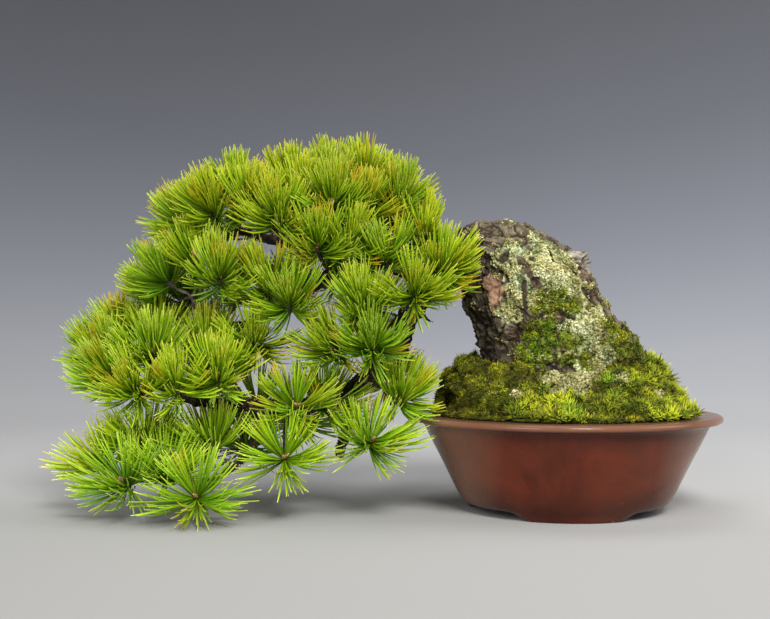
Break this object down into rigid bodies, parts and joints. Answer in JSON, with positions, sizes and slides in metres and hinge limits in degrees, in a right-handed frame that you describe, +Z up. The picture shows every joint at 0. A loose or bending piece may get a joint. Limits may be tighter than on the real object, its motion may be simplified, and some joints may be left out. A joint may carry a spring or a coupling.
{
  "type": "bonsai tree",
  "caption": "Semi-cascade five-needle pine bonsai with a massive leaning trunk, moss cushions and a round flared clay pot on cut-out feet.",
  "frame": {"origin": "on the surface that the pot stands on, below the middle of the whole tree's box", "axes": "+X towards the pot, with the branches trailing towards -X, +Y away from the viewer of the picture, +Z up"},
  "size_m": [0.451, 0.21, 0.2555],
  "materials": {
    "pot_clay": "unglazed red-brown clay, satin, with pale specks and a lighter worn lip",
    "screen_plastic": "black plastic mesh over the drain hole",
    "soil": "dark damp granular soil",
    "moss": "living moss in olive, dark and bright green cushions",
    "wood": "old furrowed bark, grey-brown, with pale green lichen and moss on the stump",
    "needles": "fresh yellow-green pine needles, deeper green at the roots, satin"
  },
  "bodies": {
    "root": {"drain_screen": "screen_plastic", "moss_back": "moss", "moss_front": "moss", "moss_left_mound": "moss", "moss_right_slope": "moss", "pot": "pot_clay", "soil": "soil", "spray_back_bend": "needles", "spray_back_bottom": "needles", "spray_back_crown_left": "needles", "spray_back_crown_right": "needles", "spray_back_knee": "needles", "spray_back_left": "needles", "spray_back_left_top": "needles", "spray_back_low": "needles", "spray_back_middle": "needles", "spray_back_shoulder": "needles", "spray_crown_far_left": "needles", "spray_crown_left": "needles", "spray_crown_middle": "needles", "spray_crown_right": "needles", "spray_front_bend": "needles", "spray_front_heart": "needles", "spray_front_knee": "needles", "spray_front_upper": "needles", "spray_inner_dark": "needles", "spray_knee_low": "needles", "spray_left_front": "needles", "spray_left_shoulder": "needles", "spray_left_upper": "needles", "spray_low_front_star": "needles", "spray_low_left": "needles", "spray_low_middle": "needles", "spray_low_star": "needles", "spray_middle_front": "needles", "spray_middle_right": "needles", "spray_stub_end": "needles", "trunk": "wood"}
  },
  "joints": []
}
